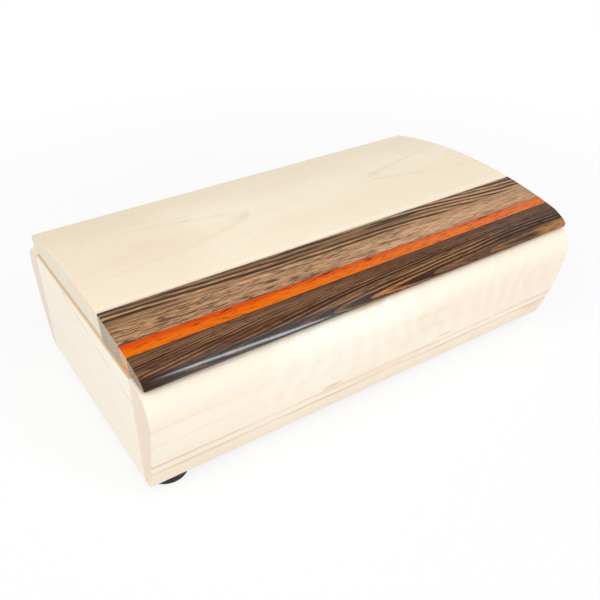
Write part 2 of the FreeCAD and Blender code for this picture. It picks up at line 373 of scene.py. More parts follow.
def effect(name, inputs, outputs):
    """An empty shared effect with named sockets, and the recipe that fills it."""
    group = bpy.data.node_groups.new(name, "ShaderNodeTree")
    for label, kind, value in inputs:
        socket = group.interface.new_socket(name=label, in_out="INPUT", socket_type=kind)
        if value is not None:
            socket.default_value = value
    for label, kind in outputs:
        group.interface.new_socket(name=label, in_out="OUTPUT", socket_type=kind)
    recipe = Recipe(group)
    given = recipe.node("NodeGroupInput").outputs
    results = recipe.node("NodeGroupOutput").inputs
    return group, recipe, given, results


NUMBER = "NodeSocketFloat"
VECTOR = "NodeSocketVector"


def growth_layers():
    """Growth layers of a log: distance from a pith line that lies along x, bent by slow
    noise, leaning or bowed both ways from one place, cut into layers of one spacing."""
    group, r, given, out = effect(
        "growth layers",
        [("Vector", VECTOR, None), ("Pith Y", NUMBER, 0.0), ("Pith Z", NUMBER, -0.05),
         ("Lean", NUMBER, 0.0), ("Bow", NUMBER, 0.0), ("Turn X", NUMBER, 0.0),
         ("Spacing", NUMBER, 0.002), ("Waver", NUMBER, 0.001), ("Seed", NUMBER, 0.0)],
        [("Share", NUMBER), ("Line", NUMBER), ("Layer", NUMBER)])
    x, y, z = r.parts(given["Vector"])
    slow = r.noise(r.shift(r.stretch(given["Vector"], 11, 34, 34), given["Seed"]), 3.0, 0.45)
    away_y = r.subtract(y, given["Pith Y"])
    away_z = r.subtract(z, given["Pith Z"])
    distance = r.maths("SQRT", r.add(r.times(away_y, away_y), r.times(away_z, away_z)))
    along = r.subtract(x, given["Turn X"])
    squared = r.times(along, along)
    rounded_tip = 0.0003
    away = r.maths("SQRT", r.add(squared, rounded_tip))
    distance = r.subtract(distance, r.times(away, given["Lean"]))
    distance = r.subtract(distance, r.times(squared, given["Bow"]))
    distance = r.add(distance, r.times(r.subtract(slow, 0.5), given["Waver"]))
    count = r.divide(distance, given["Spacing"])
    share = r.maths("FRACT", count)
    dice = r.node("ShaderNodeTexWhiteNoise", noise_dimensions="1D")
    r.feed(dice.inputs["W"], r.add(r.maths("FLOOR", count), given["Seed"]))
    late = r.span(share, 0.72, 0.97)
    fall = r.span(share, 0.97, 1.0, 1.0, 0.0)
    r.feed(out["Share"], share)
    r.feed(out["Line"], r.times(late, fall))
    r.feed(out["Layer"], dice.outputs["Value"])
    return group


def long_fibres():
    """Fibres that run along x: fine noise drawn out lengthwise, and a broader streak."""
    group, r, given, out = effect(
        "long fibres",
        [("Vector", VECTOR, None), ("Seed", NUMBER, 0.0)],
        [("Fine", NUMBER), ("Broad", NUMBER)])
    shifted = r.shift(given["Vector"], given["Seed"])
    r.feed(out["Fine"], r.noise(r.stretch(shifted, 28, 1500, 1500), 3.0, 0.6))
    r.feed(out["Broad"], r.noise(r.stretch(shifted, 7, 210, 210), 3.0, 0.55))
    return group


def open_pores():
    """Pores cut lengthwise: short dark dashes where drawn-out noise passes a limit."""
    group, r, given, out = effect(
        "open pores",
        [("Vector", VECTOR, None), ("Length", NUMBER, 0.006), ("Width", NUMBER, 0.0004),
         ("Limit", NUMBER, 0.64), ("Seed", NUMBER, 0.0)],
        [("Dash", NUMBER)])
    x, y, z = r.parts(given["Vector"])
    joined = r.node("ShaderNodeCombineXYZ")
    r.feed(joined.inputs[0], r.divide(x, given["Length"]))
    r.feed(joined.inputs[1], r.add(r.divide(y, given["Width"]), given["Seed"]))
    r.feed(joined.inputs[2], r.divide(z, given["Width"]))
    spots = r.noise(joined.outputs[0], 1.0, 0.4, 0.15)
    r.feed(out["Dash"], r.span(spots, given["Limit"], r.add(given["Limit"], 0.07)))
    return group


def curly_figure():
    """Bands of light and dark across the grain, where the fibres wave: a sine along x whose
    place and strength drift with slow noise."""
    group, r, given, out = effect(
        "curly figure",
        [("Vector", VECTOR, None), ("Spacing", NUMBER, 0.014), ("Seed", NUMBER, 0.0)],
        [("Band", NUMBER)])
    shifted = r.shift(r.stretch(given["Vector"], 16, 30, 30), given["Seed"])
    drift = r.noise(shifted, 2.0, 0.5)
    strength = r.span(r.noise(r.stretch(shifted, 0.8, 0.8, 0.8, (9, 4, 7)), 1.0), 0.45, 0.7)
    x = r.parts(given["Vector"])[0]
    turn = r.add(r.divide(r.times(x, 2 * math.pi), given["Spacing"]), r.times(drift, 22.0))
    r.feed(out["Band"], r.times(r.maths("SINE", turn), strength))
    return group


rings = growth_layers()
fibres = long_fibres()
pores = open_pores()
curl = curly_figure()


def material(name):
    """An empty material with its shader in place, and the recipe that fills it."""
    made = bpy.data.materials.new(name)
    made.use_nodes = True
    made.node_tree.nodes.clear()
    recipe = Recipe(made.node_tree)
    shader = recipe.node("ShaderNodeBsdfPrincipled")
    end = recipe.node("ShaderNodeOutputMaterial")
    recipe.feed(end.inputs["Surface"], shader.outputs[0])
    return made, recipe, shader.inputs


def end_share(r):
    """1 on faces that look along x, where the wood is cut across its fibres."""
    x = r.parts(r.node("ShaderNodeNewGeometry").outputs["Normal"])[0]
    return r.span(r.maths("ABSOLUTE", x), 0.75, 0.97)


def dotted_ends(r, spot, colour, pale, dark, amount):
    """The colour with a dark wood's cut ends laid over it: two tones, dotted by its pores."""
    dots = r.span(r.noise(r.stretch(spot, 300, 1500, 1500), 2.0, 0.6), 0.4, 0.62)
    return r.mix(r.times(end_share(r), amount), colour, r.mix(dots, paint(*pale), paint(*dark)))


def lacquer(r, shader, specular, coat, coat_roughness):
    """The clear finish over a wood: its shine, the weight of its coat and how dull that is."""
    r.feed(shader["Specular IOR Level"], specular)
    r.feed(shader["Coat Weight"], coat)
    r.feed(shader["Coat Roughness"], coat_roughness)


def maple(name, pith, lean=0.0, turn=0.0, spacing=2.1 * mm, waver=1.4 * mm, seed=0.0,
          pale=(252, 241, 224), warm=(248, 231, 210), line=(222, 190, 154), line_strength=0.35,
          turned=False, stain=None, growth_lines=(), tone_and_shade_marks=(), end_tone=(240, 221, 198),
          curled=0.4, painted_gap_shade_from=None):
    """Pale maple under a satin finish. turned lays the grain along y, and curled is how
    strong the bands across the grain are. Each growth line has a height, a rise per metre, a
    thickness, an amount and a colour. Each mark is a drawn-out oval, of the wood's own tone or
    of painted shade: its place along the grain and its height, its half length and half
    height, an amount and a colour. stain is the height below which the wood is warmer, half
    the height of the change, an amount and a colour. The last argument is the height from
    which a top edge is painted darker and warmer, as painted shade for the gap under the lid."""
    made, r, shader = material(name)
    spot = r.place()
    if turned:
        mapping = r.node("ShaderNodeMapping")
        r.feed(mapping.inputs["Vector"], spot)
        mapping.inputs["Rotation"].default_value = (0, 0, math.pi / 2)
        spot = mapping.outputs[0]
    axes = r.parts(spot)
    x = axes["X"]
    z = axes["Z"]
    layers = r.shared(rings, Vector=spot, Pith_Y=pith[0], Pith_Z=pith[1], Lean=lean, Turn_X=turn,
                      Spacing=spacing, Waver=waver, Seed=seed)
    strands = r.shared(fibres, Vector=spot, Seed=seed)
    figure = r.shared(curl, Vector=spot, Seed=seed)["Band"]
    broad = r.noise(r.stretch(spot, 9, 26, 26, (seed, 3, 1)), 2.0, 0.5)
    colour = r.mix(r.span(broad, 0.3, 0.72), paint(*pale), paint(*warm))
    colour = r.mix(r.times(r.span(strands["Broad"], 0.42, 0.75), 0.35), colour, paint(*warm))
    streaks = r.noise(r.stretch(spot, 45, 700, 700, (seed, 1, 2)), 3.0, 0.6)
    streaky = r.span(streaks, 0.36, 0.62, 0.15, 1.0)
    strength = r.times(r.span(layers["Layer"], 0.1, 1.0, 0.25, 1.0), line_strength)
    colour = r.mix(r.times(layers["Line"], r.times(strength, streaky)), colour, paint(*line))
    wander = r.subtract(r.noise(r.stretch(spot, 17, 6, 6, (seed, 0, 4)), 4.0, 0.55), 0.5)
    for height, rise, thickness, amount, tone in growth_lines:
        line_z = r.add(r.times(wander, 6 * mm), r.add(r.times(x, rise), height))
        above = r.subtract(z, line_z)
        mask = r.times(r.span(above, 0.35 * thickness, 0.0), r.span(above, -2.2 * thickness, 0.0))
        breaks = r.noise(r.stretch(spot, 30, 300, 300, (height * 700, 0, 0)), 3.0)
        ragged = r.span(breaks, 0.3, 0.7, 0.25, 1.0)
        colour = r.mix(r.times(mask, r.times(ragged, amount)), colour, paint(*tone))
    if stain:
        height, soft, amount, tone = stain
        low = r.times(r.span(z, height + soft, height - soft), amount)
        colour = r.mix(low, colour, paint(*tone))
    # Ovals laid over the wood: some are its own tone, others are painted shade or painted light.
    for along, height, half_length, half_height, amount, tone in tone_and_shade_marks:
        side = r.divide(r.subtract(x, along), half_length)
        wavy_z = r.add(z, r.times(wander, 5 * mm))
        up = r.divide(r.subtract(wavy_z, height), half_height)
        out = r.add(r.times(side, side), r.times(up, up))
        ragged = r.times(r.subtract(strands["Broad"], 0.5), 1.6)
        colour = r.mix(r.times(r.span(r.add(out, ragged), 1.0, 0.1), amount), colour, paint(*tone))
    specks = r.shared(pores, Vector=spot, Length=2.2 * mm, Width=0.28 * mm, Limit=0.69,
                      Seed=seed)["Dash"]
    colour = r.mix(r.times(specks, 0.28), colour, paint(205, 168, 130))
    if not turned:
        grainy = r.noise(r.stretch(spot, 400, 2600, 900), 2.0, 0.6)
        darker_end = [value - 14 for value in end_tone]
        tone = r.mix(r.span(grainy, 0.35, 0.7), paint(*end_tone), paint(*darker_end))
        tone = r.mix(r.times(layers["Line"], 0.4), tone, paint(216, 186, 154))
        colour = r.mix(r.times(end_share(r), 0.8), colour, tone)
    # Painted shade: the top edge of the panel is painted darker and warmer, standing for the shade in
    # the gap under the lid.
    if painted_gap_shade_from:
        colour = r.mix(r.span(z, painted_gap_shade_from - 0.4 * mm, painted_gap_shade_from), colour, paint(238, 218, 186))
    lift = r.span(figure, -1.0, 1.0, 1.0 - 0.05 * curled, 1.0 + 0.03 * curled, smooth=False)
    shade = r.node("ShaderNodeCombineColor")
    for socket in shade.inputs:
        r.feed(socket, lift)
    colour = r.mix(1.0, colour, shade.outputs[0], "MULTIPLY")
    r.feed(shader["Base Color"], colour)
    r.feed(shader["Roughness"], r.span(strands["Fine"], 0.3, 0.7, 0.56, 0.7))
    lacquer(r, shader, 0.3, 0.03, 0.4)
    relief = r.add(r.times(strands["Fine"], 0.6), r.times(specks, -0.8))
    r.feed(shader["Normal"], r.bump(relief, 0.03 * mm, 0.35))
    return made


def wenge_front():
    """Dark wenge: fine brown and black layers, nearly straight along the top, that spread
    out into black patches and pale brown tongues where the nose runs along them."""
    made, r, shader = material("wenge front strip")
    spot = r.place()
    x, y = r.parts(spot)[:2]
    layers = r.shared(rings, Vector=spot, Pith_Y=10 * mm, Pith_Z=-5 * mm, Bow=0.067, Turn_X=149 * mm,
                      Spacing=0.67 * mm, Waver=1.2 * mm, Seed=3.1)
    strands = r.shared(fibres, Vector=spot, Seed=5.0)
    ragged = r.times(r.subtract(strands["Fine"], 0.5), 0.5)
    patch = r.noise(r.stretch(spot, 17, 120, 120, (3, 0, 0)), 2.0)
    wider = r.span(patch, 0.42, 0.68, 0.0, 0.3)
    share = r.add(r.add(layers["Share"], ragged), wider)
    dark = r.times(r.span(share, 0.4, 0.58), r.span(layers["Layer"], 0.0, 0.7, 0.45, 1.0))
    brown = r.mix(r.span(strands["Broad"], 0.38, 0.62), paint(112, 72, 46), paint(158, 112, 78))
    deep = r.span(r.maths("ABSOLUTE", x), 30 * mm, 130 * mm, 0.84, 0.97)
    behind = r.span(y, lid_front + 11 * mm, lid_front + 16 * mm)
    deep = r.times(deep, r.span(behind, 0.0, 1.0, 1.0, 0.62, smooth=False))
    brown = r.mix(r.times(behind, 0.5), brown, paint(98, 64, 44))
    colour = r.mix(r.times(dark, deep), brown, paint(24, 14, 9))
    # Painted reflection: towards the right end the wood is greyed, standing for the pale veil the
    # surroundings lay on the dark wood there.
    colour = r.mix(r.span(x, 50 * mm, 110 * mm, 0.0, 0.4), colour, paint(66, 58, 56))
    colour = r.mix(r.span(x, -70 * mm, -130 * mm, 0.0, 0.22), colour, paint(60, 36, 24))
    nose = r.span(y, lid_front + 4.5 * mm, lid_front + 2.5 * mm)
    pale = r.times(r.span(layers["Share"], 0.42, 0.2), r.span(layers["Layer"], 0.35, 0.6))
    far = r.span(x, -45 * mm, 5 * mm)
    nose_dark = r.times(nose, r.span(far, 0.0, 1.0, 0.8, 0.35, smooth=False))
    colour = r.mix(nose_dark, colour, paint(24, 16, 12))
    pale = r.times(pale, r.span(r.times(nose, far), 0.0, 1.0, 0.12, 0.95, smooth=False))
    colour = r.mix(pale, colour, paint(190, 124, 64))
    tip = r.times(nose, r.span(r.add(x, r.times(ragged, 20 * mm)), 116 * mm, 132 * mm))
    colour = r.mix(r.times(tip, 0.8), colour, paint(174, 122, 74))
    dash = r.shared(pores, Vector=spot, Length=9 * mm, Width=0.5 * mm, Limit=0.58, Seed=2.0)["Dash"]
    colour = r.mix(r.times(dash, 0.7), colour, paint(22, 13, 8))
    colour = dotted_ends(r, spot, colour, (178, 160, 138), (132, 114, 96), 0.8)
    r.feed(shader["Base Color"], colour)
    r.feed(shader["Roughness"], r.span(strands["Fine"], 0.3, 0.7, 0.38, 0.5))
    handled = r.times(r.span(x, -146 * mm, -122 * mm), r.span(x, 12 * mm, -30 * mm))
    glossy = r.times(r.span(y, lid_front + 5.4 * mm, lid_front + 3.6 * mm), handled)
    lacquer(r, shader, 0.1, r.span(glossy, 0.0, 1.0, 0.05, 1.0, smooth=False), 0.11)
    relief = r.add(r.times(strands["Fine"], 0.4), r.times(dash, -1.0))
    r.feed(shader["Normal"], r.bump(relief, 0.03 * mm, 0.3))
    return made


def wenge_rear():
    """Wenge with black stripes beside the maple and a golden half in front, flecked with
    short dark pores. The stripes run forwards to the right along one slow S."""
    made, r, shader = material("wenge rear strip")
    spot = r.place()
    x, y = r.parts(spot)[:2]
    strands = r.shared(fibres, Vector=spot, Seed=11.0)
    from_joint = r.subtract(maple_joint, y)
    left_sweep = r.span(x, -165 * mm, -40 * mm, 0.0, 4.2 * mm)
    sweep = r.add(left_sweep, r.span(x, 20 * mm, 165 * mm, 0.0, 12 * mm))
    wander = r.times(r.subtract(r.noise(r.stretch(spot, 12, 30, 30, (8, 2, 5)), 3.0), 0.5), 4 * mm)
    across = r.add(r.subtract(from_joint, sweep), wander)
    laid = r.node("ShaderNodeCombineXYZ")
    r.feed(laid.inputs[0], r.times(x, 13.0))
    r.feed(laid.inputs[1], r.times(across, 330.0))
    uneven = r.subtract(r.noise(laid.outputs[0], 3.0, 0.55), 0.5)
    ragged = r.times(r.subtract(strands["Fine"], 0.5), 0.25)
    wide = r.maths("PINGPONG", r.divide(r.subtract(across, 1.0 * mm), 3.4 * mm), 0.5)
    stripe = r.span(r.add(r.add(wide, r.times(uneven, 1.1)), ragged), 0.34, 0.2)
    kept = r.node("ShaderNodeCombineXYZ")
    r.feed(kept.inputs[0], r.times(x, 13.0))
    r.feed(kept.inputs[1], r.times(across, 190.0))
    kept_share = r.span(r.noise(kept.outputs[0], 1.0, 0.5), 0.36, 0.5, 0.4, 1.0)
    thin = r.maths("PINGPONG", r.divide(across, 0.95 * mm), 0.5)
    line = r.span(r.add(r.add(thin, r.times(uneven, -1.4)), ragged), 0.2, 0.04)
    zone = r.span(r.add(from_joint, r.times(wander, 0.5)), 14.0 * mm, 12.0 * mm)
    gold = r.mix(r.span(strands["Broad"], 0.4, 0.6), paint(208, 164, 124), paint(186, 143, 104))
    gold = r.mix(r.span(x, -70 * mm, -130 * mm, 0.0, 0.35), gold, paint(170, 118, 72))
    brown = r.mix(r.span(strands["Broad"], 0.4, 0.62), paint(202, 154, 110), paint(142, 102, 70))
    colour = r.mix(zone, gold, brown)
    line = r.times(line, r.span(zone, 0.0, 1.0, 0.15, 0.3, smooth=False))
    colour = r.mix(line, colour, paint(72, 48, 32))
    stripe = r.times(r.times(stripe, kept_share), r.span(zone, 0.0, 1.0, 0.0, 0.93, smooth=False))
    colour = r.mix(stripe, colour, paint(32, 22, 17))
    side = r.divide(r.subtract(x, 42 * mm), 27 * mm)
    patch_y = r.add(from_joint, r.times(wander, 0.4))
    up = r.divide(r.subtract(patch_y, 4.4 * mm), 1.7 * mm)
    out = r.add(r.add(r.times(side, side), r.times(up, up)), r.times(ragged, 3.0))
    colour = r.mix(r.span(out, 1.0, 0.5, 0.0, 0.85), colour, paint(38, 29, 25))
    dash = r.shared(pores, Vector=spot, Length=13 * mm, Width=0.66 * mm, Limit=0.53, Seed=4.0)["Dash"]
    shown = r.span(x, -100 * mm, 100 * mm, 0.85, 0.45)
    shown = r.times(shown, r.span(zone, 0.0, 1.0, 1.0, 0.5, smooth=False))
    colour = r.mix(r.times(dash, shown), colour, paint(84, 54, 32))
    fine = r.shared(pores, Vector=spot, Length=7 * mm, Width=0.4 * mm, Limit=0.55, Seed=8.0)["Dash"]
    colour = r.mix(r.times(fine, shown), colour, paint(60, 38, 25))
    colour = dotted_ends(r, spot, colour, (200, 186, 164), (156, 142, 124), 0.85)
    r.feed(shader["Base Color"], colour)
    r.feed(shader["Roughness"], r.span(strands["Fine"], 0.3, 0.7, 0.4, 0.54))
    lacquer(r, shader, 0.12, 0.06, 0.16)
    relief = r.add(r.times(strands["Fine"], 0.4), r.times(dash, -1.0))
    r.feed(shader["Normal"], r.bump(relief, 0.03 * mm, 0.3))
    return made


def padauk_strip():
    """Orange padauk, redder at its back edge, with dark red dashes."""
    made, r, shader = material("padauk strip")
    spot = r.place()
    strands = r.shared(fibres, Vector=spot, Seed=17.0)
    x, y, z = r.parts(spot)
    wander = r.times(r.subtract(r.noise(r.stretch(spot, 20, 60, 60), 2.0), 0.5), 5 * mm)
    rear = r.span(r.add(y, wander), -66.0 * mm, -62.5 * mm)
    colour = r.mix(rear, paint(226, 109, 8), paint(212, 73, 4))
    colour = r.mix(r.times(r.span(strands["Broad"], 0.4, 0.7), 0.5), colour, paint(210, 81, 4))
    colour = r.mix(r.times(r.span(x, -80 * mm, 150 * mm), 0.5), colour, paint(206, 122, 80))
    dash = r.shared(pores, Vector=spot, Length=8 * mm, Width=0.9 * mm, Limit=0.58, Seed=6.0)["Dash"]
    dash = r.times(dash, r.add(r.times(rear, 0.5), 0.5))
    colour = r.mix(r.times(dash, 0.9), colour, paint(132, 22, 0))
    fine = r.shared(pores, Vector=spot, Length=6 * mm, Width=0.5 * mm, Limit=0.58, Seed=9.0)["Dash"]
    colour = r.mix(r.times(fine, 0.3), colour, paint(176, 48, 4))
    end_low = r.span(z, lid_under + 6 * mm, lid_under + 1 * mm)
    end_tone = r.mix(end_low, paint(216, 178, 142), paint(236, 150, 84))
    colour = r.mix(r.times(end_share(r), 0.9), colour, end_tone)
    r.feed(shader["Base Color"], colour)
    r.feed(shader["Roughness"], r.span(strands["Fine"], 0.3, 0.7, 0.34, 0.46))
    lacquer(r, shader, 0.06, 0.03, 0.18)
    relief = r.add(r.times(strands["Fine"], 0.4), r.times(dash, -1.0))
    r.feed(shader["Normal"], r.bump(relief, 0.04 * mm, 0.4))
    return made


def brass(name, tone, worn):
    """Polished brass with a fine lengthwise brush and a faint dulling in patches."""
    made, r, shader = material(name)
    spot = r.place()
    brush = r.noise(r.stretch(spot, 300, 5200, 5200), 2.0, 0.6)
    patch = r.noise(r.stretch(spot, 70, 70, 70), 2.0, 0.5)
    colour = r.mix(r.span(patch, 0.4, 0.7), paint(*tone), paint(*worn))
    r.feed(shader["Base Color"], colour)
    shader["Metallic"].default_value = 1.0
    dulled = r.span(patch, 0.4, 0.8, 0.0, 0.08)
    r.feed(shader["Roughness"], r.add(r.span(brush, 0.2, 0.8, 0.2, 0.34), dulled))
    r.feed(shader["Normal"], r.bump(brush, 0.01 * mm, 0.06))
    return made


def rubber_finish():
    """Black moulded rubber: matt, faintly grained, a little dust on it."""
    made, r, shader = material("foot rubber")
    spot = r.place()
    grain = r.noise(r.stretch(spot, 2600, 2600, 2600), 2.0, 0.6)
    dust = r.noise(r.stretch(spot, 240, 240, 240), 3.0, 0.6)
    r.feed(shader["Base Color"], r.mix(r.span(dust, 0.45, 0.8), paint(12, 11, 11), paint(28, 26, 25)))
    r.feed(shader["Roughness"], r.span(grain, 0.2, 0.8, 0.52, 0.72))
    r.feed(shader["Normal"], r.bump(grain, 0.03 * mm, 0.5))
    return made


def suede_finish():
    """Dark brown suede: a short pile brushed unevenly, with a soft sheen."""
    made, r, shader = material("liner suede")
    spot = r.place()
    pile = r.noise(r.stretch(spot, 2400, 2400, 2400), 3.0, 0.65)
    brushed = r.noise(r.stretch(spot, 30, 55, 30), 3.0, 0.55, 0.8)
    colour = r.mix(r.span(brushed, 0.35, 0.65), paint(92, 66, 49), paint(103, 75, 57))
    colour = r.mix(r.times(r.span(pile, 0.4, 0.8), 0.4), colour, paint(58, 40, 30))
    r.feed(shader["Base Color"], colour)
    r.feed(shader["Roughness"], r.span(brushed, 0.3, 0.7, 0.86, 0.96))
    shader["Sheen Weight"].default_value = 0.35
    shader["Sheen Roughness"].default_value = 0.5
    r.feed(shader["Normal"], r.bump(pile, 0.12 * mm, 0.6))
    return made


front_maple = maple(
    "maple front board", pith=(-20 * mm, -60 * mm), lean=0.01, turn=40 * mm, seed=2.0,
    line_strength=0.2, curled=0.6, end_tone=(244, 227, 207),
    growth_lines=((27.5 * mm, 0.0, 1.3 * mm, 0.75, (216, 174, 136)),
                  (20.8 * mm, 0.0, 1.6 * mm, 0.8, (208, 166, 128)),
                  (46 * mm, 0.01, 0.8 * mm, 0.4, (228, 194, 160)),
                  (57 * mm, 0.0, 0.8 * mm, 0.35, (228, 196, 164))),
    stain=(19 * mm, 5 * mm, 0.3, (244, 218, 192)),
    tone_and_shade_marks=((5 * mm, 25 * mm, 70 * mm, 4 * mm, 0.45, (240, 208, 178)),
           (122 * mm, 27 * mm, 42 * mm, 2.6 * mm, 0.45, (238, 210, 168)),
           (-36 * mm, 29 * mm, 9 * mm, 1.6 * mm, 0.6, (222, 168, 124)),
           (50 * mm, 31 * mm, 7 * mm, 1.5 * mm, 0.5, (224, 176, 134)),
           # The next three broad ovals are painted shading across the front: darker and warmer
           # towards the ends, paler in the middle.
           (100 * mm, 52 * mm, 66 * mm, 34 * mm, 0.65, (250, 229, 210)),
           (-26 * mm, 58 * mm, 60 * mm, 34 * mm, 0.4, (254, 247, 234)),
           (-92 * mm, 52 * mm, 48 * mm, 26 * mm, 0.3, (250, 231, 212)),
           (138 * mm, 17 * mm, 14 * mm, 3 * mm, 0.45, (236, 202, 150)),
           # The next two thin ovals along the top edge are a painted shadow: the warm shade under the
           # lid's nose.
           (-12 * mm, 76 * mm, 16 * mm, 1.6 * mm, 0.5, (232, 196, 142)),
           (96 * mm, 76 * mm, 34 * mm, 1.4 * mm, 0.4, (234, 204, 150))))
back_maple = maple(
    "maple back board", pith=(30 * mm, -40 * mm), lean=0.015, turn=-30 * mm, seed=7.0,
    end_tone=(244, 230, 213),
    growth_lines=((24 * mm, 0.0, 1.4 * mm, 0.5, (212, 172, 134)),
                  (50 * mm, 0.01, 0.9 * mm, 0.35, (226, 192, 158))))
# The top edges of the end panels carry painted shade for the gap under the lid.
end_maple = maple(
    "maple end panels", pith=(210 * mm, -30 * mm), waver=1.0 * mm, spacing=6 * mm,
    line_strength=0.12, seed=4.0, turned=True, pale=(252, 245, 231), warm=(249, 239, 221),
    curled=0.2, growth_lines=((72.3 * mm, -0.14, 0.6 * mm, 0.8, (186, 156, 120)),),
    painted_gap_shade_from=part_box("left_end_panel")[1].z)
floor_maple = maple("maple bottom", pith=(15 * mm, -70 * mm), lean=0.02, turn=10 * mm, seed=12.0)
lid_maple = maple(
    "maple lid panel", pith=(13.6 * mm, 16.4 * mm), lean=0.031, turn=23 * mm, spacing=2.08 * mm,
    waver=1.2 * mm, seed=1.0, pale=(248, 234, 211), warm=(243, 226, 200), line=(226, 200, 166),
    line_strength=0.5, end_tone=(243, 234, 217), curled=0.2,
    tone_and_shade_marks=((-118 * mm, 88 * mm, 60 * mm, 40 * mm, 0.5, (236, 215, 188)),))
front_wenge = wenge_front()
rear_wenge = wenge_rear()
padauk = padauk_strip()
hinge_brass = brass("hinge brass", (231, 212, 168), (221, 201, 154))
screw_brass = brass("screw brass", (238, 224, 188), (228, 212, 170))
rubber = rubber_finish()
suede = suede_finish()

finishes = {
    "front_board": front_maple, "back_board": back_maple, "left_end_panel": end_maple,
    "right_end_panel": end_maple, "bottom_panel": floor_maple,
    "hinge_left_body_leaf": hinge_brass, "hinge_right_body_leaf": hinge_brass,
    "hinge_left_lid_leaf": hinge_brass, "hinge_right_lid_leaf": hinge_brass,
    "hinge_left_pin": hinge_brass, "hinge_right_pin": hinge_brass,
    "hinge_body_screws": screw_brass, "hinge_lid_screws": screw_brass,
}
for node, finish in finishes.items():
    nodes[node].material_slots[0].material = finish


# Pieces of the lid

padauk_back = straight(padauk_centre + padauk_left / 2, padauk_centre + padauk_right / 2)
padauk_front = straight(padauk_centre - padauk_left / 2, padauk_centre - padauk_right / 2)
back_edge = straight(lid_back, lid_back)
joint_edge = straight(maple_joint, maple_joint)
front_edge = straight(lid_front, lid_front)
maple_panel = lid_piece("lid_maple_panel_shaped", back_edge, joint_edge, lid_maple)

# Beds of the hinges, measured from the pin's axis: for the leaf, and for the knuckles.
leaf_bed_rise = 1.55 * mm
knuckle_bed_reach = 4.15 * mm
hinge_beds = []
for side in ("left", "right"):
    leaf_low, leaf_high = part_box(f"hinge_{side}_lid_leaf")
    pin_low, pin_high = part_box(f"hinge_{side}_pin")
    pivot = (pin_low + pin_high) / 2
    leaf_span = (leaf_low.x, leaf_high.x)
    hinge_beds.append((leaf_span, (leaf_low.y, lid_back + mm),
                       (lid_under - mm, pivot.z + leaf_bed_rise)))
    hinge_beds.append((leaf_span, (pivot.y - knuckle_bed_reach, lid_back + mm),
                       (lid_under - mm, pivot.z + knuckle_bed_reach)))
cut_away(maple_panel, hinge_beds)
flat_faces_stay_flat(maple_panel)
for name, back_line, front_line, finish, slot in (
    ("lid_rear_wenge_strip_shaped", joint_edge, padauk_back, rear_wenge, "wenge"),
    ("lid_padauk_strip_shaped", padauk_back, padauk_front, padauk, "padauk"),
    ("lid_front_wenge_strip_shaped", padauk_front, front_edge, front_wenge, "wenge"),
):
    flat_faces_stay_flat(lid_piece(name, back_line, front_line, finish))


# Feet, screws and liner


def rubber_foot(name, node):
    """A moulded bumper: a profile of radius and height turned about its upright axis. From
    the middle of its base it goes out over a shallow dish and a flat ring, up a rounded rim
    of one radius, up the side and back in over the top."""
    low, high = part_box(node)
    radius = (high.x - low.x) / 2
    tall = high.z - low.z
    rim_radius = 1.6 * mm
    dish_depth = 0.5 * mm
    pole = 0.02 * radius
    bend = np.linspace(0, math.pi / 2, 9)
    rim = radius - rim_radius + rim_radius * np.sin(bend)
    rise = rim_radius - rim_radius * np.cos(bend)
    inner = np.array([0.02, 0.35, 0.42, 0.5]) * radius
    dish = np.array([1.0, 1.0, 0.84, 0.0]) * dish_depth
    profile_r = np.concatenate([inner, rim, [radius, radius * 0.995, pole]])
    profile_z = np.concatenate([dish, rise, [tall - 0.5 * mm, tall, tall]])
    turn = np.linspace(0, 2 * math.pi, 64, endpoint=False)
    x = (low.x + high.x) / 2 + profile_r[:, None] * np.cos(turn)
    y = (low.y + high.y) / 2 + profile_r[:, None] * np.sin(turn)
    z = low.z + profile_z[:, None] + 0 * turn
    points = np.stack([x, y, z], -1).reshape(-1, 3)
    faces = capped_rings(len(profile_r), len(turn))
    piece = new_piece(name, points, faces, rubber, "box", [node])
    outward(piece)
    flat_faces_stay_flat(piece)


for corner in ("front_left", "front_right", "back_left", "back_right"):
    rubber_foot(f"foot_{corner}_moulded", f"foot_{corner}")


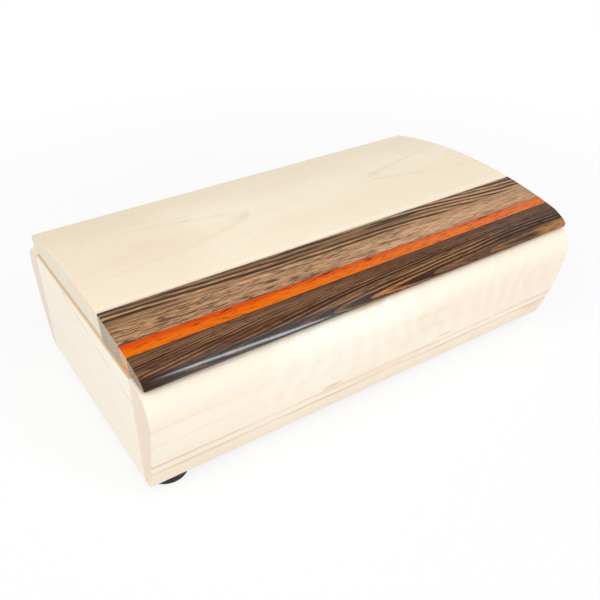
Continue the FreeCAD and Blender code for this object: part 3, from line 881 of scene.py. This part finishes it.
def wood_screws(name, node, leaves, up):
    """Countersunk screws with slots in line. Each is a profile of radius against depth,
    turned about an upright axis: a cone under a flat head, then a shank that narrows to a
    point. up is 1 where the point is above the head and -1 where it is below. On the shank
    the radius drops between the ridges of a thread, by thread_depth times one less the square
    of a triangle wave. The wave runs along depth over pitch less the turn, so the ridges wind
    along the shank as a helix."""
    low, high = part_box(node)
    face = high.z if up < 0 else low.z
    length = high.z - low.z
    head_radius = 2.2 * mm
    head_edge = 0.12 * mm
    head_depth = 1.1 * mm
    shank_radius = 1.1 * mm
    taper_length = 2.4 * mm
    tip_radius = 0.06 * mm
    thread_pitch = 1.1 * mm
    thread_depth = 0.32 * mm
    thread_start = 0.5 * mm
    least_radius = 0.04 * mm
    spacing = 19 * mm
    shank_rows = np.arange(head_depth + 0.1 * mm, length, 0.09 * mm)
    depth = np.concatenate([[0.0, head_edge, head_depth], shank_rows, [length]])
    outer = np.interp(depth, [0, head_edge, head_depth, length - taper_length, length],
                      [head_radius, head_radius, shank_radius, shank_radius, tip_radius])
    turn = np.linspace(0, 2 * math.pi, 28, endpoint=False)
    wave = np.abs(2 * ((depth[:, None] / thread_pitch - turn[None, :] / (2 * math.pi)) % 1) - 1)
    fade_in = np.clip((depth - head_depth - thread_start) / mm, 0, 1)
    fade = fade_in * np.clip((length - depth) / mm, 0, 1)
    groove = thread_depth * fade[:, None] * (1 - wave**2)
    radius = np.maximum(outer[:, None] - groove, least_radius)
    radius[0] = head_radius - 0.1 * mm
    middle = (low.y + high.y) / 2
    points = []
    faces = []
    for leaf in leaves:
        leaf_low, leaf_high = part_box(leaf)
        for side in (-0.5, 0.5):
            x = (leaf_low.x + leaf_high.x) / 2 + side * spacing
            ring = [x + radius * np.cos(turn), middle + radius * np.sin(turn),
                    np.broadcast_to((face + up * depth)[:, None], radius.shape)]
            faces += capped_rings(len(depth), len(turn), len(points) * radius.size)
            points.append(np.stack(ring, -1).reshape(-1, 3))
    body = "lid" if up > 0 else "box"
    piece = new_piece(name, np.concatenate(points), faces, screw_brass, body, [node])
    outward(piece)
    slot_half_width = 0.32 * mm
    slot_depth = 0.7 * mm
    slot_z = sorted((face - up * mm, face + up * slot_depth))
    slot_y = (middle - slot_half_width, middle + slot_half_width)
    cut_away(piece, [((low.x - mm, high.x + mm), slot_y, slot_z)])
    flat_faces_stay_flat(piece)


wood_screws("hinge_body_screws_slotted", "hinge_body_screws",
            ("hinge_left_body_leaf", "hinge_right_body_leaf"), up=-1)
wood_screws("hinge_lid_screws_slotted", "hinge_lid_screws",
            ("hinge_left_lid_leaf", "hinge_right_lid_leaf"), up=1)


def suede_liner():
    """A suede-covered card: a grid over the floor whose height swells a little between its
    edges, rolls down at them, and closes underneath."""
    low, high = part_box("bottom_liner")
    edge_roll = 1.2 * mm
    waves_x = 70
    waves_y = 95
    swell = 0.12 * mm
    swell_room = 0.15 * mm
    flattened_edge = 10 * mm
    across = 90
    u = np.sin(np.linspace(-math.pi / 2, math.pi / 2, across))
    x = (low.x + high.x) / 2 + u * (high.x - low.x) / 2
    y = (low.y + high.y) / 2 + u * (high.y - low.y) / 2
    gx, gy = np.meshgrid(x, y, indexing="ij")
    to_edge = np.minimum(np.minimum(gx - low.x, high.x - gx), np.minimum(gy - low.y, high.y - gy))
    roll = eased(to_edge, edge_roll, edge_roll)
    soft = swell * np.sin(gx * waves_x + 1.3) * np.sin(gy * waves_y + 0.4)
    z = high.z - swell_room - roll + soft * np.clip(to_edge / flattened_edge, 0, 1)
    top = np.stack([gx, gy, z], -1).reshape(-1, 3)
    under = np.stack([gx, gy, np.full_like(gx, low.z)], -1).reshape(-1, 3)
    i, j = np.meshgrid(np.arange(across - 1), np.arange(across - 1), indexing="ij")
    a = (i * across + j).ravel()
    quads = np.stack([a, a + across, a + across + 1, a + 1], -1)
    k = np.arange(across - 1)
    last = across * (across - 1)
    border = np.concatenate([k, k * across + across - 1, last + k[::-1] + 1, (k[::-1] + 1) * across])
    after = np.roll(border, -1)
    n = across * across
    sides = np.stack([border, after, after + n, border + n], -1)
    faces = np.concatenate([quads, quads[:, ::-1] + n, sides])
    points = np.concatenate([top, under])
    piece = new_piece("bottom_liner_suede", points, faces, suede, "box", ["bottom_liner"])
    outward(piece)


suede_liner()


# Studio


def placed(right, up, back, place):
    """The place of a lamp or camera that looks away from back, from its three axes."""
    turned = np.eye(4)
    turned[:3, 0] = right
    turned[:3, 1] = up
    turned[:3, 2] = back
    turned[:3, 3] = place
    return Matrix(turned.tolist())


def area_lamp(name, azimuth, elevation, distance, width, height, watts, colour):
    """A soft lamp that looks at the box from a compass direction, 0 being +Y, and a height,
    both in degrees. It is aimed half way up the box."""
    a, e = math.radians(azimuth), math.radians(elevation)
    back = np.array([math.sin(a) * math.cos(e), math.cos(a) * math.cos(e), math.sin(e)])
    right = np.array([-math.cos(a), math.sin(a), 0.0])
    up = np.cross(back, right)
    aim = np.array([0, 0, 50 * mm])
    data = bpy.data.lights.new(name, "AREA")
    data.shape = "RECTANGLE"
    data.size = width
    data.size_y = height
    data.energy = watts
    data.color = colour
    lamp = bpy.data.objects.new(name, data)
    lamp.matrix_world = placed(right, up, back, aim + back * distance)
    bpy.context.scene.collection.objects.link(lamp)


area_lamp("window", azimuth=156, elevation=36, distance=1.6, width=0.16, height=2.1,
          watts=11.7, colour=(0.85, 0.94, 1.0))
area_lamp("left_softbox", azimuth=250, elevation=48, distance=1.5, width=1.1, height=1.1,
          watts=9.5, colour=(1.0, 0.99, 0.965))


def seen_share(r):
    """1 for what the camera sees, straight or in a reflection or through glass, and 0 for the
    light that falls on things."""
    rays = r.node("ShaderNodeLightPath").outputs
    seen = r.maths("MAXIMUM", rays["Is Camera Ray"], rays["Is Glossy Ray"])
    return r.maths("MAXIMUM", seen, rays["Is Transmission Ray"])


def studio_world():
    """A surround that looks pure white and lights the box at a lower strength."""
    strength_seen = 1.0
    strength_as_light = 0.55
    world = bpy.data.worlds.new("studio")
    bpy.context.scene.world = world
    world.use_nodes = True
    world.node_tree.nodes.clear()
    r = Recipe(world.node_tree)
    sky = r.node("ShaderNodeBackground")
    strength = r.span(seen_share(r), 0.0, 1.0, strength_as_light, strength_seen, smooth=False)
    r.feed(sky.inputs["Color"], (1, 1, 1, 1))
    r.feed(sky.inputs["Strength"], strength)
    r.feed(r.node("ShaderNodeOutputWorld").inputs["Surface"], sky.outputs[0])


def studio_floor():
    """A pale floor that catches the box's shadow. So that the shadow stays light, the camera
    sees near_white of it as pure white near the box, and all of it from white_from outwards."""
    mesh = bpy.data.meshes.new("floor")
    half = 4.0
    near_white = 0.8
    shadow_reach = 0.25
    white_from = 0.6
    corners = [(-half, -half, 0), (half, -half, 0), (half, half, 0), (-half, half, 0)]
    mesh.from_pydata(corners, [], [(0, 1, 2, 3)])
    made = bpy.data.materials.new("pale floor")
    made.use_nodes = True
    made.node_tree.nodes.clear()
    r = Recipe(made.node_tree)
    plain = r.node("ShaderNodeBsdfDiffuse")
    plain.inputs["Color"].default_value = (0.9, 0.9, 0.9, 1)
    glow = r.node("ShaderNodeEmission")
    glow.inputs["Strength"].default_value = 1.0
    out_from_box = r.node("ShaderNodeVectorMath", operation="LENGTH")
    r.feed(out_from_box.inputs[0], r.place())
    white = r.span(out_from_box.outputs["Value"], shadow_reach, white_from, near_white, 1.0)
    both = r.node("ShaderNodeMixShader")
    r.feed(both.inputs[0], r.times(seen_share(r), white))
    r.feed(both.inputs[1], plain.outputs[0])
    r.feed(both.inputs[2], glow.outputs[0])
    r.feed(r.node("ShaderNodeOutputMaterial").inputs["Surface"], both.outputs[0])
    mesh.materials.append(made)
    floor = bpy.data.objects.new("floor", mesh)
    bpy.context.scene.collection.objects.link(floor)


studio_world()
studio_floor()


# Camera

camera_place = (-235.29 * mm, -352.51 * mm, 310.40 * mm)
camera_azimuth = math.radians(33.49)
camera_down = math.radians(33.71)
camera_roll = math.radians(0.33)
focal_length = 44.92
sensor_width = 36.0

ahead = np.array([math.sin(camera_azimuth) * math.cos(camera_down),
                  math.cos(camera_azimuth) * math.cos(camera_down), -math.sin(camera_down)])
level = np.array([math.cos(camera_azimuth), -math.sin(camera_azimuth), 0.0])
down = np.cross(ahead, level)
camera_x = level * math.cos(camera_roll) + down * math.sin(camera_roll)
camera_y = level * math.sin(camera_roll) - down * math.cos(camera_roll)
lens = bpy.data.cameras.new("camera")
lens.lens = focal_length
lens.sensor_width = sensor_width
lens.clip_start = 0.01
lens.clip_end = 20.0
camera = bpy.data.objects.new("camera", lens)
camera.matrix_world = placed(camera_x, camera_y, -ahead, camera_place)
bpy.context.scene.collection.objects.link(camera)
bpy.context.scene.camera = camera
bpy.context.scene.view_settings.view_transform = "Standard"
